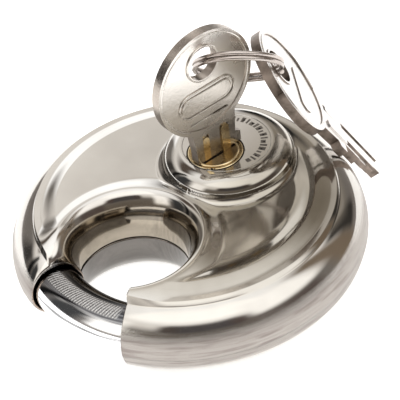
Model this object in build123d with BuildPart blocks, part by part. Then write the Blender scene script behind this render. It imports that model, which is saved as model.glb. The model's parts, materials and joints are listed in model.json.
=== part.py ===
from build123d import *
import os
from math import acos, asin, cos, degrees, radians, sin, sqrt

os.makedirs("parts", exist_ok=True)

# The disc's axis is Z, its resting back face is z = 0 and the shackle opening faces -Y.
# Section heights are measured from the seam, where the two half shells meet.

# Shells
SEAM = 9.7
SHEET = 0.8
RIM_CENTRE = 26.7
RIM_SECTION = 8.3
CREASE_RADIUS = 29.5
FLAT_RADIUS = 24.8
FRONT_HEIGHT = 9.4
FRONT_FALL = 0.2
BACK_HEIGHT = SEAM
CREASE_ANGLE = degrees(acos((CREASE_RADIUS - RIM_CENTRE) / RIM_SECTION))

# Shackle throat
THROAT_Y = -15.9
WAIST_RADIUS = 10.8
FRONT_FLARE = 16.7
BACK_FLARE = 13.3
FLARE_TOP = 10.9
MOUTH_ANGLE = 20.0
MOUTH_REACH = 42.0

# Shackle
SHACKLE_RADIUS = 29.0
SHACKLE_WIRE = 4.8
SHACKLE_TIP = -33.0
SHACKLE_TAIL = 160.0
TUNNEL_WIRE = 5.2
TIP_ROUNDING = 0.9

# Boss and lock cylinder
BOSS_Y = 13.1
BOSS_HEIGHT = 13.1
BOSS_FLAT = 9.1
BOSS_BASE = 13.3
PLUG_Y = 9.8
PLUG_RADIUS = 4.9
BORE_RADIUS = 4.96
NOSE_RADIUS = 5.4
FACE_HOLE = 5.55
HOUSING_RADIUS = 10.4
HOUSING_TOP = 11.3
HOUSING_BOTTOM = -2.7
PLUG_TOP = 13.0
PLUG_BOTTOM = -2.95
DRILL_PLATE_RADIUS = 8.2
DRILL_PLATE_SHEET = 0.9

# Pin stacks
KEYWAY_ANGLE = 81.0
KEYWAY_WIDTH = 2.2
KEYWAY_REACH = 3.9
KEYWAY_FLOOR = -2.2
PIN_COUNT = 4
PIN_PITCH = 3.3
FIRST_PIN = -0.4
PIN_RADIUS = 1.2
CHAMBER_RADIUS = 1.27
PIN_TOP = 4.68
DRIVER_START = 5.06
DRIVER_LENGTH = 3.1
STOPPER_START = 11.3
STOPPER_LENGTH = 1.7
SPRING_RADIUS = 0.88
SPRING_WIRE = 0.14
FIRST_CUT = 0.8
CUT_STEP = 0.9

# Drive
CRANK_THROW = PLUG_Y
CRANK_ANGLE = 150.0
CRANK_RADIUS = 1.5
CAM_TOP = PLUG_BOTTOM
CAM_THICKNESS = 1.4
CAM_ARM = 2.6
CAM_SCREW_REACH = 3.2
CAM_SCREW_RADIUS = 0.7
CAM_HEAD_RADIUS = 1.2
CAM_HEAD_DEPTH = 0.6
CAM_SCREW_GRIP = 3.3
DRIVE_ANGLE = 120.0
DRIVE_TOP = -4.6
DRIVE_THICKNESS = 1.4
DRIVE_INNER = 12.8
DRIVE_OUTER = 30.4
DRIVE_WIDTH = 9.6
SLOT_CLEARANCE = 0.05
RIVET_RADIUS = 1.2
RIVET_REACH = 28.6
RIVET_SPREAD = 2.6
RIVET_GRIP = 4.8

# Fixings and guides
POST_X = 5.8
POST_Y = 6.2
POST_RADIUS = 1.5
SCREW_RADIUS = 0.9
SCREW_HEAD = 1.7
SCREW_HEAD_DEPTH = 0.7
SCREW_GRIP = 4.6
FLOOR_RADIUS = 24.0
FLOOR_THROAT = 15.7
FLOOR_TOP = -7.7
FLOOR_BOTTOM = -BACK_HEIGHT + SHEET
GUIDE_START = 42.0
GUIDE_INNER = 20.4
GUIDE_OUTER = 30.7
GUIDE_WALL = 22.9
GUIDE_SHEET = 1.0
GUIDE_HEIGHT = 6.1
STUD_REACH = 21.6
STUD_RADIUS = 1.0
STUD_ANGLES = (60, 105, 255, 300)
SEAM_GAP = 0.2
UPPER_WALL_END = 148
LOWER_GUIDE_END = 132
BLOCK_START = 28.0
BLOCK_END = 40.0
BLOCK_SECTION = 7.45
KEEPER_END_WALL = 3.5

# Keys, in the flat of the bow: h across the blade, v up from the seam
KEY_THICKNESS = 2.0
BLADE_TIP = -2.0
BLADE_BACK = -4.3
SHOULDER = 13.3
SHOULDER_TOP = 15.6
SHOULDER_REACH = 5.8
NECK_BACK = -5.0
NECK_FRONT = 4.6
BOW_OFFSET = -1.0
BOW_CENTRE = 31.0
BOW_RADIUS = 11.3
BOW_RIM = 1.1
BOW_RECESS = 0.2
HOLE_HEIGHT = 35.6
HOLE_RADIUS = 3.45
GROOVE_DEPTH = 0.4
PANEL_HEIGHT = 27.6
PANEL_LENGTH = 12.4
PANEL_WIDTH = 3.4

# Ring and spare key as they hang
RING_RADIUS = 8.3
RING_WIRE = 0.45
RING_PITCH = 0.93
RING_TURNS = 2.1
RING_CENTRE = (3.28, 15.36, 31.7)
RING_RIGHT = (0.752, 0.652, -0.103)
RING_NORMAL = (-0.451, 0.621, 0.641)
SPARE_HOLE = (7.0, 21.7, 28.65)
SPARE_ACROSS = (0.762, -0.642, -0.087)
SPARE_UP = (-0.261, -0.427, 0.866)


def upward(y):
    """Vertical section plane through the axis at this y, rising from the seam."""
    return Plane(origin=(0, y, SEAM), x_dir=(1, 0, 0), z_dir=(0, -1, 0))


def downward(y):
    """The same section plane turned over, so that heights run down from the seam."""
    return Plane(origin=(0, y, SEAM), x_dir=(1, 0, 0), z_dir=(0, 1, 0))


def level(height):
    """Horizontal plane at a height above the seam."""
    return Plane.XY.offset(SEAM + height)


def axis_at(y):
    return Axis((0, y, 0), (0, 0, 1))


def radial(angle):
    """Unit direction at an angle from +X."""
    return (cos(radians(angle)), sin(radians(angle)), 0)


def from_opening(angle):
    """Angle from +X of a point this far round from the opening, towards -X."""
    return -90.0 - angle


def dome_profile(thickness, height, fall):
    """Half section of the round body, inset from its outside by a thickness."""
    with BuildSketch() as profile:
        with BuildLine():
            rim = CenterArc((RIM_CENTRE, 0), RIM_SECTION - thickness, 0, CREASE_ANGLE)
            Polyline(
                rim @ 1,
                (FLAT_RADIUS - thickness / 4, height - thickness - fall),
                (0, height - thickness),
                (0, 0),
                rim @ 0,
            )
        make_face()
    return profile.sketch


def throat_profile(flare, wall, top):
    """Half section of the throat, widened by a wall."""
    radius = flare - wall
    sweep_angle = degrees(asin(top / radius))
    with BuildSketch() as profile:
        with BuildLine():
            side = CenterArc((WAIST_RADIUS + flare, 0), radius, 180, -sweep_angle)
            Polyline(side @ 1, (0, top), (0, 0), side @ 0)
        make_face()
    return profile.sketch


def boss_profile(thickness):
    """Half section of the raised boss, inset by a thickness."""
    foot = BOSS_BASE - thickness
    with BuildSketch() as profile:
        with BuildLine():
            Line((0, FRONT_HEIGHT - 2.0), (foot, FRONT_HEIGHT - 2.0))
            Line((foot, FRONT_HEIGHT - 2.0), (foot, FRONT_HEIGHT - 0.3))
            shoulder = ThreePointArc(
                (foot, FRONT_HEIGHT - 0.3),
                (foot - 1.3, BOSS_HEIGHT - thickness - 1.0),
                (BOSS_FLAT - thickness / 2, BOSS_HEIGHT - thickness),
            )
            Polyline(shoulder @ 1, (0, BOSS_HEIGHT - thickness), (0, FRONT_HEIGHT - 2.0))
        make_face()
    return profile.sketch


def front_hollow():
    """Space inside the front shell, which leaves the throat's collar standing."""
    with BuildPart() as hollow:
        with BuildSketch(upward(0)):
            add(dome_profile(SHEET, FRONT_HEIGHT, FRONT_FALL))
        revolve(axis=axis_at(0))
        with BuildSketch(upward(BOSS_Y)):
            add(boss_profile(SHEET))
        revolve(axis=axis_at(BOSS_Y))
        with BuildSketch(upward(THROAT_Y)):
            add(throat_profile(FRONT_FLARE, SHEET, FLARE_TOP))
        revolve(axis=axis_at(THROAT_Y), mode=Mode.SUBTRACT)
    return hollow.part


def back_hollow():
    """Space inside the back shell, which leaves the throat's collar standing."""
    with BuildPart() as hollow:
        with BuildSketch(downward(0)):
            add(dome_profile(SHEET, BACK_HEIGHT, 0))
        revolve(axis=axis_at(0))
        with BuildSketch(downward(THROAT_Y)):
            add(throat_profile(BACK_FLARE, SHEET, FLARE_TOP))
        revolve(axis=axis_at(THROAT_Y), mode=Mode.SUBTRACT)
    return hollow.part


def mouth_wedge():
    """Sector of the body that is open in front of the throat."""
    side = sin(radians(MOUTH_ANGLE))
    ahead = cos(radians(MOUTH_ANGLE))
    near = -THROAT_Y / ahead
    far = MOUTH_REACH
    with BuildPart() as wedge:
        with BuildSketch(Plane.XY.offset(-1)):
            Polygon(
                (-near * side, -near * ahead),
                (near * side, -near * ahead),
                (far * side, -far * ahead),
                (-far * side, -far * ahead),
                align=None,
            )
        extrude(amount=2 * SEAM + 4)
    return wedge.part


def tunnel():
    """Round passage that the shackle turns in."""
    with BuildPart() as passage:
        with Locations((0, 0, SEAM)):
            Torus(SHACKLE_RADIUS, TUNNEL_WIRE)
    return passage.part


def sector(start, end, inner, outer, low, high):
    """Ring segment between two angles round from the opening and two levels."""
    steps = 24
    ring = []
    for i in range(steps + 1):
        angle = from_opening(start + (end - start) * i / steps)
        ring.append((outer * cos(radians(angle)), outer * sin(radians(angle))))
    for i in range(steps + 1):
        angle = from_opening(end + (start - end) * i / steps)
        ring.append((inner * cos(radians(angle)), inner * sin(radians(angle))))
    with BuildPart() as segment:
        with BuildSketch(level(low)):
            Polygon(*ring, align=None)
        extrude(amount=high - low)
    return segment.part


def coil(radius, wire, pitch, turns):
    """Coil of round wire, centred on the origin, with its axis on Z."""
    height = pitch * turns
    with BuildPart() as spring:
        with BuildLine() as path:
            Helix(pitch, height, radius, center=(0, 0, -height / 2))
        with BuildSketch(Plane(origin=path.line @ 0, z_dir=path.line % 0)):
            Circle(wire)
        sweep(path=path.line, is_frenet=True)
    return spring.part


def pin_level(index):
    return FIRST_PIN + index * PIN_PITCH


def cut_height(index):
    return FIRST_CUT + index * CUT_STEP


def pin_plane(index, distance):
    """Plane across a pin chamber at a distance from the plug's axis."""
    way = radial(KEYWAY_ANGLE)
    origin = (way[0] * distance, PLUG_Y + way[1] * distance, SEAM + pin_level(index))
    return Plane(origin=origin, x_dir=(0, 0, 1), z_dir=way)


def key_plane():
    """Flat of the key in the lock: X across the blade, Y up, measured from the seam."""
    way = radial(KEYWAY_ANGLE)
    return Plane(origin=(0, PLUG_Y, SEAM), x_dir=way, z_dir=(way[1], -way[0], 0))


def spare_plane():
    """Flat of the hanging spare key, with the ring hole where the ring passes."""
    across = Vector(SPARE_ACROSS)
    up = Vector(SPARE_UP).normalized()
    across = (across - up * across.dot(up)).normalized()
    hole = Vector(SPARE_HOLE) + Vector(0, 0, SEAM)
    origin = hole - across * BOW_OFFSET - up * HOLE_HEIGHT
    return Plane(origin=origin, x_dir=across, z_dir=across.cross(up))


def ring_plane():
    origin = Vector(RING_CENTRE) + Vector(0, 0, SEAM)
    return Plane(origin=origin, x_dir=RING_RIGHT, z_dir=RING_NORMAL)


def key_outline():
    """Bow, neck and stepped blade of a key, with the ring hole."""
    steps = []
    for i in range(PIN_COUNT):
        low = BLADE_TIP + 0.9 if i == 0 else pin_level(i) - PIN_PITCH / 2
        high = SHOULDER if i == PIN_COUNT - 1 else pin_level(i) + PIN_PITCH / 2
        steps.append((cut_height(i), low))
        steps.append((cut_height(i), high))
    with BuildSketch() as outline:
        with Locations((BOW_OFFSET, BOW_CENTRE)):
            Circle(BOW_RADIUS)
        Polygon(
            (BLADE_BACK + 1.2, BLADE_TIP),
            (cut_height(0) - 0.9, BLADE_TIP),
            *steps,
            (SHOULDER_REACH, SHOULDER),
            (SHOULDER_REACH, SHOULDER_TOP),
            (NECK_FRONT, SHOULDER_TOP + 0.6),
            (NECK_FRONT + 0.6, BOW_CENTRE - BOW_RADIUS + 2.6),
            (NECK_BACK - 0.6, BOW_CENTRE - BOW_RADIUS + 1.6),
            (NECK_BACK, SHOULDER_TOP),
            (NECK_BACK, SHOULDER),
            (BLADE_BACK, SHOULDER),
            (BLADE_BACK, BLADE_TIP + 1.2),
            align=None,
        )
        with Locations((BOW_OFFSET, HOLE_HEIGHT)):
            Circle(HOLE_RADIUS, mode=Mode.SUBTRACT)
    return outline.sketch


def key_field():
    """Sunk field of the bow inside its raised edge, round a raised panel and the hole's lip."""
    with BuildSketch() as field:
        with Locations((BOW_OFFSET, BOW_CENTRE)):
            Circle(BOW_RADIUS - BOW_RIM)
        with Locations((BOW_OFFSET, HOLE_HEIGHT)):
            Circle(HOLE_RADIUS + 0.5, mode=Mode.SUBTRACT)
        with Locations((BOW_OFFSET, PANEL_HEIGHT)):
            SlotOverall(PANEL_LENGTH, PANEL_WIDTH, mode=Mode.SUBTRACT)
    return field.sketch


def key_grooves():
    """Two milled grooves that run up the blade into the neck."""
    top = BOW_CENTRE - BOW_RADIUS - 0.4
    length = top - BLADE_TIP
    with BuildSketch() as grooves:
        with Locations((-2.6, BLADE_TIP + length / 2)):
            Rectangle(1.5, length)
        with Locations((2.0, BLADE_TIP + length / 2)):
            Rectangle(1.9, length)
    return grooves.sketch


def key_solid(plane):
    """A whole key, built in the given flat."""
    face = KEY_THICKNESS / 2
    with BuildPart() as solid:
        with BuildSketch(plane):
            add(key_outline())
        extrude(amount=face, both=True)
        with BuildSketch(plane.offset(face), plane.offset(-face)):
            add(key_field())
        extrude(amount=BOW_RECESS, both=True, mode=Mode.SUBTRACT)
        with BuildSketch(plane.offset(face), plane.offset(-face)):
            add(key_grooves())
        extrude(amount=GROOVE_DEPTH, both=True, mode=Mode.SUBTRACT)
    return solid.part


# Front half shell with the boss and the upper half of the throat's collar.
with BuildPart() as upper_shell:
    with BuildSketch(upward(0)):
        add(dome_profile(0, FRONT_HEIGHT, FRONT_FALL))
    revolve(axis=axis_at(0))
    with BuildSketch(upward(BOSS_Y)):
        add(boss_profile(0))
    revolve(axis=axis_at(BOSS_Y))
    add(front_hollow(), mode=Mode.SUBTRACT)
    with BuildSketch(upward(THROAT_Y)):
        add(throat_profile(FRONT_FLARE, 0, FLARE_TOP))
    revolve(axis=axis_at(THROAT_Y), mode=Mode.SUBTRACT)
    with Locations((0, PLUG_Y, SEAM + BOSS_HEIGHT)):
        Cylinder(FACE_HOLE, 4, mode=Mode.SUBTRACT)
    add(mouth_wedge(), mode=Mode.SUBTRACT)
    add(tunnel(), mode=Mode.SUBTRACT)
upper_shell.part.label = "upper_shell"
export_step(upper_shell.part, "parts/upper_shell.step")

# Back half shell with the lower half of the collar; its flat back is the resting face.
with BuildPart() as lower_shell:
    with BuildSketch(downward(0)):
        add(dome_profile(0, BACK_HEIGHT, 0))
    revolve(axis=axis_at(0))
    add(back_hollow(), mode=Mode.SUBTRACT)
    with BuildSketch(downward(THROAT_Y)):
        add(throat_profile(BACK_FLARE, 0, FLARE_TOP))
    revolve(axis=axis_at(THROAT_Y), mode=Mode.SUBTRACT)
    add(mouth_wedge(), mode=Mode.SUBTRACT)
    add(tunnel(), mode=Mode.SUBTRACT)
lower_shell.part.label = "lower_shell"
export_step(lower_shell.part, "parts/lower_shell.step")

# Shackle: an arc of round bar that turns about the disc's own axis.
with BuildPart() as shackle:
    tip = radial(from_opening(SHACKLE_TIP))
    with BuildSketch(Plane(origin=(0, 0, SEAM), x_dir=tip, z_dir=(-tip[1], tip[0], 0))):
        with Locations((SHACKLE_RADIUS, 0)):
            Circle(SHACKLE_WIRE)
    revolve(axis=Axis((0, 0, 0), (0, 0, -1)), revolution_arc=SHACKLE_TAIL - SHACKLE_TIP)
    ends = shackle.edges().filter_by(GeomType.CIRCLE).filter_by(
        lambda edge: abs(edge.radius - SHACKLE_WIRE) < 0.01
    )
    fillet(ends, TIP_ROUNDING)
    with Locations(Location((0, 0, SEAM + DRIVE_TOP - 1), (0, 0, DRIVE_ANGLE))):
        with Locations((SHACKLE_RADIUS, 0, 0)):
            Box(14, 16, 2, mode=Mode.SUBTRACT)
    with BuildSketch(Plane(origin=(0, 0, SEAM + DRIVE_TOP), x_dir=radial(DRIVE_ANGLE))):
        with Locations((RIVET_REACH, RIVET_SPREAD), (RIVET_REACH, -RIVET_SPREAD)):
            Circle(RIVET_RADIUS)
    extrude(amount=RIVET_GRIP + 0.2, mode=Mode.SUBTRACT)
shackle.part.label = "shackle"
export_step(shackle.part, "parts/shackle.step")

# Drive plate under the shackle's tail, with the radial slot for the crank pin.
with BuildPart() as drive_plate:
    slot_half = CRANK_RADIUS + SLOT_CLEARANCE
    near = 2 * CRANK_THROW * cos(radians(30)) - slot_half - 0.2
    far = 2 * CRANK_THROW + slot_half + 0.2
    plate_plane = Plane(
        origin=(0, 0, SEAM + DRIVE_TOP - DRIVE_THICKNESS), x_dir=radial(DRIVE_ANGLE)
    )
    with BuildSketch(plate_plane):
        with Locations(((DRIVE_INNER + DRIVE_OUTER) / 2, 0)):
            RectangleRounded(DRIVE_OUTER - DRIVE_INNER, DRIVE_WIDTH, 1.5)
        with Locations(((near + far) / 2, 0)):
            SlotOverall(far - near, 2 * slot_half, mode=Mode.SUBTRACT)
        with Locations((RIVET_REACH, RIVET_SPREAD), (RIVET_REACH, -RIVET_SPREAD)):
            Circle(RIVET_RADIUS, mode=Mode.SUBTRACT)
    extrude(amount=DRIVE_THICKNESS)
drive_plate.part.label = "drive_plate"
export_step(drive_plate.part, "parts/drive_plate.step")

# Two rivets that hold the drive plate to the shackle.
with BuildPart() as drive_rivets:
    with BuildSketch(plate_plane):
        with Locations((RIVET_REACH, RIVET_SPREAD), (RIVET_REACH, -RIVET_SPREAD)):
            Circle(RIVET_RADIUS)
    extrude(amount=DRIVE_THICKNESS + RIVET_GRIP)
drive_rivets.part.label = "drive_rivets"
export_step(drive_rivets.part, "parts/drive_rivets.step")

# Brass lock cylinder housing, fixed inside the boss.
with BuildPart() as cylinder_housing:
    with BuildSketch(level(HOUSING_BOTTOM)):
        with Locations((0, BOSS_Y)):
            Circle(HOUSING_RADIUS)
    extrude(amount=HOUSING_TOP - HOUSING_BOTTOM)
    with BuildSketch(level(HOUSING_TOP)):
        with Locations((0, PLUG_Y)):
            Circle(NOSE_RADIUS)
    extrude(amount=PLUG_TOP - HOUSING_TOP)
    with BuildSketch(level(HOUSING_BOTTOM)):
        with Locations((0, PLUG_Y)):
            Circle(BORE_RADIUS)
    extrude(amount=PLUG_TOP - HOUSING_BOTTOM, mode=Mode.SUBTRACT)
    for i in range(PIN_COUNT):
        with BuildSketch(pin_plane(i, PLUG_RADIUS - 1)):
            Circle(CHAMBER_RADIUS)
        extrude(amount=14, mode=Mode.SUBTRACT)
    with BuildSketch(level(HOUSING_BOTTOM)):
        with Locations((POST_X, POST_Y), (-POST_X, POST_Y)):
            Circle(SCREW_RADIUS)
    extrude(amount=SCREW_GRIP + 0.4, mode=Mode.SUBTRACT)
cylinder_housing.part.label = "cylinder_housing"
export_step(cylinder_housing.part, "parts/cylinder_housing.step")

# Plug that the key turns, with its keyway and pin holes.
with BuildPart() as plug:
    with BuildSketch(level(PLUG_BOTTOM)):
        with Locations((0, PLUG_Y)):
            Circle(PLUG_RADIUS)
    extrude(amount=PLUG_TOP - PLUG_BOTTOM)
    keyway_depth = PLUG_TOP - KEYWAY_FLOOR
    with BuildSketch(key_plane()):
        with Locations(((KEYWAY_REACH - 6) / 2, KEYWAY_FLOOR + keyway_depth / 2 + 0.5)):
            Rectangle(KEYWAY_REACH + 6, keyway_depth + 1)
    extrude(amount=KEYWAY_WIDTH / 2, both=True, mode=Mode.SUBTRACT)
    for i in range(PIN_COUNT):
        with BuildSketch(pin_plane(i, cut_height(i) - 0.2)):
            Circle(CHAMBER_RADIUS)
        extrude(amount=8, mode=Mode.SUBTRACT)
    screw_plane = Plane(origin=(0, PLUG_Y, SEAM + PLUG_BOTTOM), x_dir=radial(KEYWAY_ANGLE + 90))
    with BuildSketch(screw_plane):
        with Locations((CAM_SCREW_REACH, 0), (-CAM_SCREW_REACH, 0)):
            Circle(CAM_SCREW_RADIUS)
    extrude(amount=CAM_SCREW_GRIP + 0.2, mode=Mode.SUBTRACT)
plug.part.label = "plug"
export_step(plug.part, "parts/plug.step")

# Key pins, one on each step of the blade.
with BuildPart() as key_pins:
    for i in range(PIN_COUNT):
        with BuildSketch(pin_plane(i, cut_height(i) + 0.05)):
            Circle(PIN_RADIUS)
        extrude(amount=PIN_TOP - cut_height(i) - 0.05)
key_pins.part.label = "key_pins"
export_step(key_pins.part, "parts/key_pins.step")

# Driver pins, springs and stoppers that close the chambers.
with BuildPart() as driver_pins:
    for i in range(PIN_COUNT):
        with BuildSketch(pin_plane(i, DRIVER_START)):
            Circle(PIN_RADIUS)
        extrude(amount=DRIVER_LENGTH)
driver_pins.part.label = "driver_pins"
export_step(driver_pins.part, "parts/driver_pins.step")

spring_space = STOPPER_START - DRIVER_START - DRIVER_LENGTH
spring_turns = 5
with BuildPart() as pin_springs:
    for i in range(PIN_COUNT):
        middle = pin_plane(i, STOPPER_START - spring_space / 2)
        with Locations(middle.location):
            add(
                coil(
                    SPRING_RADIUS,
                    SPRING_WIRE,
                    (spring_space - 4 * SPRING_WIRE) / spring_turns,
                    spring_turns,
                )
            )
pin_springs.part.label = "pin_springs"
export_step(pin_springs.part, "parts/pin_springs.step")

with BuildPart() as chamber_stoppers:
    for i in range(PIN_COUNT):
        with BuildSketch(pin_plane(i, STOPPER_START)):
            Circle(CHAMBER_RADIUS)
        extrude(amount=STOPPER_LENGTH)
chamber_stoppers.part.label = "chamber_stoppers"
export_step(chamber_stoppers.part, "parts/chamber_stoppers.step")

# Hard plate between the boss face and the housing.
with BuildPart() as anti_drill_plate:
    with BuildSketch(level(HOUSING_TOP)):
        with Locations((0, BOSS_Y)):
            Circle(DRILL_PLATE_RADIUS)
        with Locations((0, PLUG_Y)):
            Circle(NOSE_RADIUS + 0.1, mode=Mode.SUBTRACT)
    extrude(amount=DRILL_PLATE_SHEET)
anti_drill_plate.part.label = "anti_drill_plate"
export_step(anti_drill_plate.part, "parts/anti_drill_plate.step")

# Cam plate on the plug's end, its two screws and its crank pin.
crank_way = radial(CRANK_ANGLE)
crank_x = CRANK_THROW * crank_way[0]
crank_y = PLUG_Y + CRANK_THROW * crank_way[1]
cam_plane = Plane(
    origin=(0, PLUG_Y, SEAM + CAM_TOP - CAM_THICKNESS), x_dir=radial(KEYWAY_ANGLE + 90)
)
cam_arm = Plane(origin=(0, PLUG_Y, SEAM + CAM_TOP - CAM_THICKNESS), x_dir=crank_way)
with BuildPart() as cam_plate:
    with BuildSketch(cam_arm):
        Circle(PLUG_RADIUS)
        with Locations((CRANK_THROW, 0)):
            Circle(CAM_ARM)
        Polygon(
            (0, PLUG_RADIUS),
            (0, -PLUG_RADIUS),
            (CRANK_THROW, -CAM_ARM),
            (CRANK_THROW, CAM_ARM),
            align=None,
        )
        with Locations((CRANK_THROW, 0)):
            Circle(CRANK_RADIUS, mode=Mode.SUBTRACT)
    extrude(amount=CAM_THICKNESS)
    with BuildSketch(cam_plane):
        with Locations((CAM_SCREW_REACH, 0), (-CAM_SCREW_REACH, 0)):
            Circle(CAM_SCREW_RADIUS)
    extrude(amount=CAM_THICKNESS, mode=Mode.SUBTRACT)
    with BuildSketch(cam_plane):
        with Locations((CAM_SCREW_REACH, 0), (-CAM_SCREW_REACH, 0)):
            Circle(CAM_HEAD_RADIUS)
    extrude(amount=CAM_HEAD_DEPTH, mode=Mode.SUBTRACT)
cam_plate.part.label = "cam_plate"
export_step(cam_plate.part, "parts/cam_plate.step")

with BuildPart() as cam_screws:
    with BuildSketch(cam_plane):
        with Locations((CAM_SCREW_REACH, 0), (-CAM_SCREW_REACH, 0)):
            Circle(CAM_HEAD_RADIUS)
    extrude(amount=CAM_HEAD_DEPTH)
    with BuildSketch(cam_plane):
        with Locations((CAM_SCREW_REACH, 0), (-CAM_SCREW_REACH, 0)):
            Circle(CAM_SCREW_RADIUS)
    extrude(amount=CAM_THICKNESS + CAM_SCREW_GRIP)
cam_screws.part.label = "cam_screws"
export_step(cam_screws.part, "parts/cam_screws.step")

with BuildPart() as crank_pin:
    crank_bottom = DRIVE_TOP - DRIVE_THICKNESS - 0.1
    with BuildSketch(level(crank_bottom)):
        with Locations((crank_x, crank_y)):
            Circle(CRANK_RADIUS)
    extrude(amount=CAM_TOP - crank_bottom)
crank_pin.part.label = "crank_pin"
export_step(crank_pin.part, "parts/crank_pin.step")

# Floor plate in the back shell, with the posts and screws that carry the housing.
post_spots = [(POST_X, POST_Y), (-POST_X, POST_Y)]
with BuildPart() as floor_plate:
    with BuildSketch(level(FLOOR_BOTTOM)):
        Circle(FLOOR_RADIUS)
        with Locations((0, THROAT_Y)):
            Circle(FLOOR_THROAT, mode=Mode.SUBTRACT)
        with Locations((0, -20)):
            Rectangle(60, 26, mode=Mode.SUBTRACT)
        with Locations(*post_spots):
            Circle(SCREW_RADIUS, mode=Mode.SUBTRACT)
    extrude(amount=FLOOR_TOP - FLOOR_BOTTOM)
    with BuildSketch(level(FLOOR_BOTTOM)):
        with Locations(*post_spots):
            Circle(SCREW_HEAD)
    extrude(amount=SCREW_HEAD_DEPTH, mode=Mode.SUBTRACT)
floor_plate.part.label = "floor_plate"
export_step(floor_plate.part, "parts/floor_plate.step")

with BuildPart() as spacer_posts:
    with BuildSketch(level(FLOOR_TOP)):
        with Locations(*post_spots):
            Circle(POST_RADIUS)
            Circle(SCREW_RADIUS, mode=Mode.SUBTRACT)
    extrude(amount=HOUSING_BOTTOM - FLOOR_TOP)
spacer_posts.part.label = "spacer_posts"
export_step(spacer_posts.part, "parts/spacer_posts.step")

with BuildPart() as housing_screws:
    with BuildSketch(level(FLOOR_BOTTOM)):
        with Locations(*post_spots):
            Circle(SCREW_HEAD)
    extrude(amount=SCREW_HEAD_DEPTH)
    with BuildSketch(level(FLOOR_BOTTOM)):
        with Locations(*post_spots):
            Circle(SCREW_RADIUS)
    extrude(amount=HOUSING_BOTTOM - FLOOR_BOTTOM + SCREW_GRIP)
housing_screws.part.label = "housing_screws"
export_step(housing_screws.part, "parts/housing_screws.step")

# Pressed guides above and below the shackle's path.
with BuildPart() as upper_guide:
    flange_low = GUIDE_HEIGHT - GUIDE_SHEET
    guide_end = 360 - GUIDE_START
    add(sector(GUIDE_START, guide_end, GUIDE_INNER, GUIDE_OUTER, flange_low, GUIDE_HEIGHT))
    for start, end in ((GUIDE_START, UPPER_WALL_END), (360 - UPPER_WALL_END, guide_end)):
        add(sector(start, end, GUIDE_WALL, GUIDE_WALL + GUIDE_SHEET, SEAM_GAP, flange_low))
    with Locations((0, BOSS_Y, SEAM)):
        Cylinder(HOUSING_RADIUS + 0.1, 30, mode=Mode.SUBTRACT)
    for angle in STUD_ANGLES:
        way = radial(from_opening(angle))
        with Locations((STUD_REACH * way[0], STUD_REACH * way[1], SEAM)):
            Cylinder(STUD_RADIUS, 30, mode=Mode.SUBTRACT)
upper_guide.part.label = "upper_guide"
export_step(upper_guide.part, "parts/upper_guide.step")

with BuildPart() as lower_guide:
    for start, end in ((GUIDE_START, LOWER_GUIDE_END), (360 - LOWER_GUIDE_END, guide_end)):
        add(sector(start, end, GUIDE_INNER, GUIDE_OUTER, -GUIDE_HEIGHT, -flange_low))
        add(sector(start, end, GUIDE_WALL, GUIDE_WALL + GUIDE_SHEET, -flange_low, -SEAM_GAP))
    for angle in STUD_ANGLES:
        way = radial(from_opening(angle))
        with Locations((STUD_REACH * way[0], STUD_REACH * way[1], SEAM)):
            Cylinder(STUD_RADIUS, 30, mode=Mode.SUBTRACT)
lower_guide.part.label = "lower_guide"
export_step(lower_guide.part, "parts/lower_guide.step")

with BuildPart() as guide_studs:
    for angle in STUD_ANGLES:
        way = radial(from_opening(angle))
        with Locations((STUD_REACH * way[0], STUD_REACH * way[1], SEAM)):
            Cylinder(STUD_RADIUS, 2 * GUIDE_HEIGHT)
guide_studs.part.label = "guide_studs"
export_step(guide_studs.part, "parts/guide_studs.step")


def mouth_block(start, end):
    """Hard ring segment that fills the rim section, before the shackle's passage is cut."""
    way = radial(from_opening(start))
    with BuildPart() as block:
        with BuildSketch(Plane(origin=(0, 0, SEAM), x_dir=way, z_dir=(-way[1], way[0], 0))):
            with Locations((RIM_CENTRE, 0)):
                Circle(BLOCK_SECTION)
        revolve(axis=Axis((0, 0, 0), (0, 0, -1)), revolution_arc=end - start)
        with BuildSketch(upward(THROAT_Y)):
            add(throat_profile(FRONT_FLARE, SHEET + 0.1, FLARE_TOP))
        revolve(axis=axis_at(THROAT_Y), mode=Mode.SUBTRACT)
        with BuildSketch(downward(THROAT_Y)):
            add(throat_profile(BACK_FLARE, SHEET + 0.1, FLARE_TOP))
        revolve(axis=axis_at(THROAT_Y), mode=Mode.SUBTRACT)
    return block.part


# Hard guide that the shackle passes through at one mouth.
with BuildPart() as mouth_guide:
    add(mouth_block(BLOCK_START, BLOCK_END))
    add(tunnel(), mode=Mode.SUBTRACT)
mouth_guide.part.label = "mouth_guide"
export_step(mouth_guide.part, "parts/mouth_guide.step")

# Hard keeper that receives the shackle's tip at the other mouth.
with BuildPart() as tip_keeper:
    add(mouth_block(-BLOCK_END, -BLOCK_START))
    add(tunnel(), mode=Mode.SUBTRACT)
    add(mouth_block(-BLOCK_END, -BLOCK_END + KEEPER_END_WALL))
tip_keeper.part.label = "tip_keeper"
export_step(tip_keeper.part, "parts/tip_keeper.step")

# Key in the lock, the split ring and the spare key that hangs from it.
with BuildPart() as key:
    add(key_solid(key_plane()))
key.part.label = "key"
export_step(key.part, "parts/key.step")

with BuildPart() as split_ring:
    with Locations(ring_plane().location):
        add(coil(RING_RADIUS, RING_WIRE, RING_PITCH, RING_TURNS))
split_ring.part.label = "split_ring"
export_step(split_ring.part, "parts/split_ring.step")

with BuildPart() as spare_key:
    add(key_solid(spare_plane()))
spare_key.part.label = "spare_key"
export_step(spare_key.part, "parts/spare_key.step")
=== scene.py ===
import json
from math import acos, cos, degrees, pi, radians, sin

import bpy
import numpy as np
from mathutils import Matrix, Vector


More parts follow.
